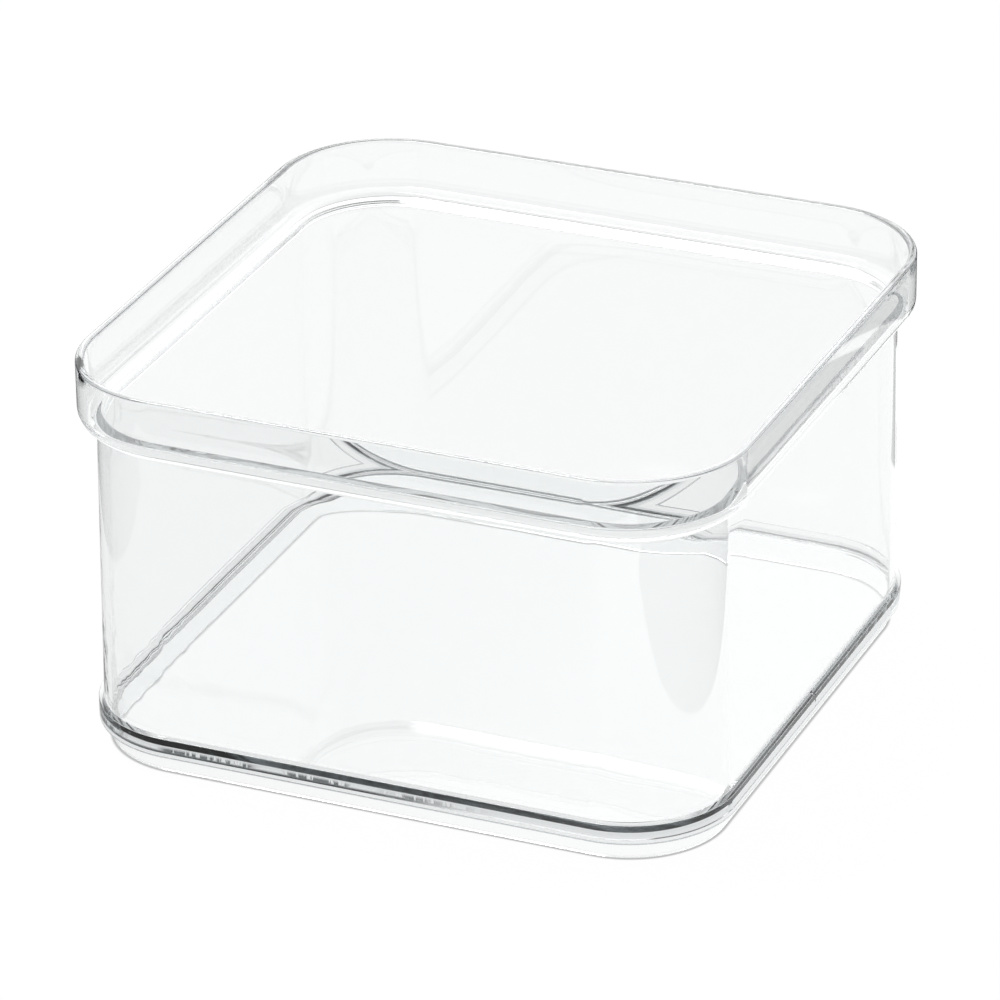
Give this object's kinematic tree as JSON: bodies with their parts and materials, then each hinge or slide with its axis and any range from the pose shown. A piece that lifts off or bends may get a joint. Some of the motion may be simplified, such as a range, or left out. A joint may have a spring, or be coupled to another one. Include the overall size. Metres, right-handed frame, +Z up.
{
  "type": "fridge bin",
  "caption": "Clear square open-top fridge bin with a stacking collar, a rounded shoulder and ledge, a beaded base and a set-in foot ring.",
  "frame": {"origin": "middle of the footprint, on the surface that the foot ring stands on", "axes": "+Z up out of the open top; X and Y square to the walls, which are alike on all four sides"},
  "size_m": [0.1606, 0.1606, 0.0955],
  "materials": {
    "clear_shell": "injection-moulded clear plastic, polished mould",
    "clear_tray": "injection-moulded clear plastic, polished mould",
    "weld": "clear weld with small voids"
  },
  "bodies": {
    "root": {"wall_shell": "clear_shell", "base_tray": "clear_tray", "bond_seam": "weld"}
  },
  "joints": []
}
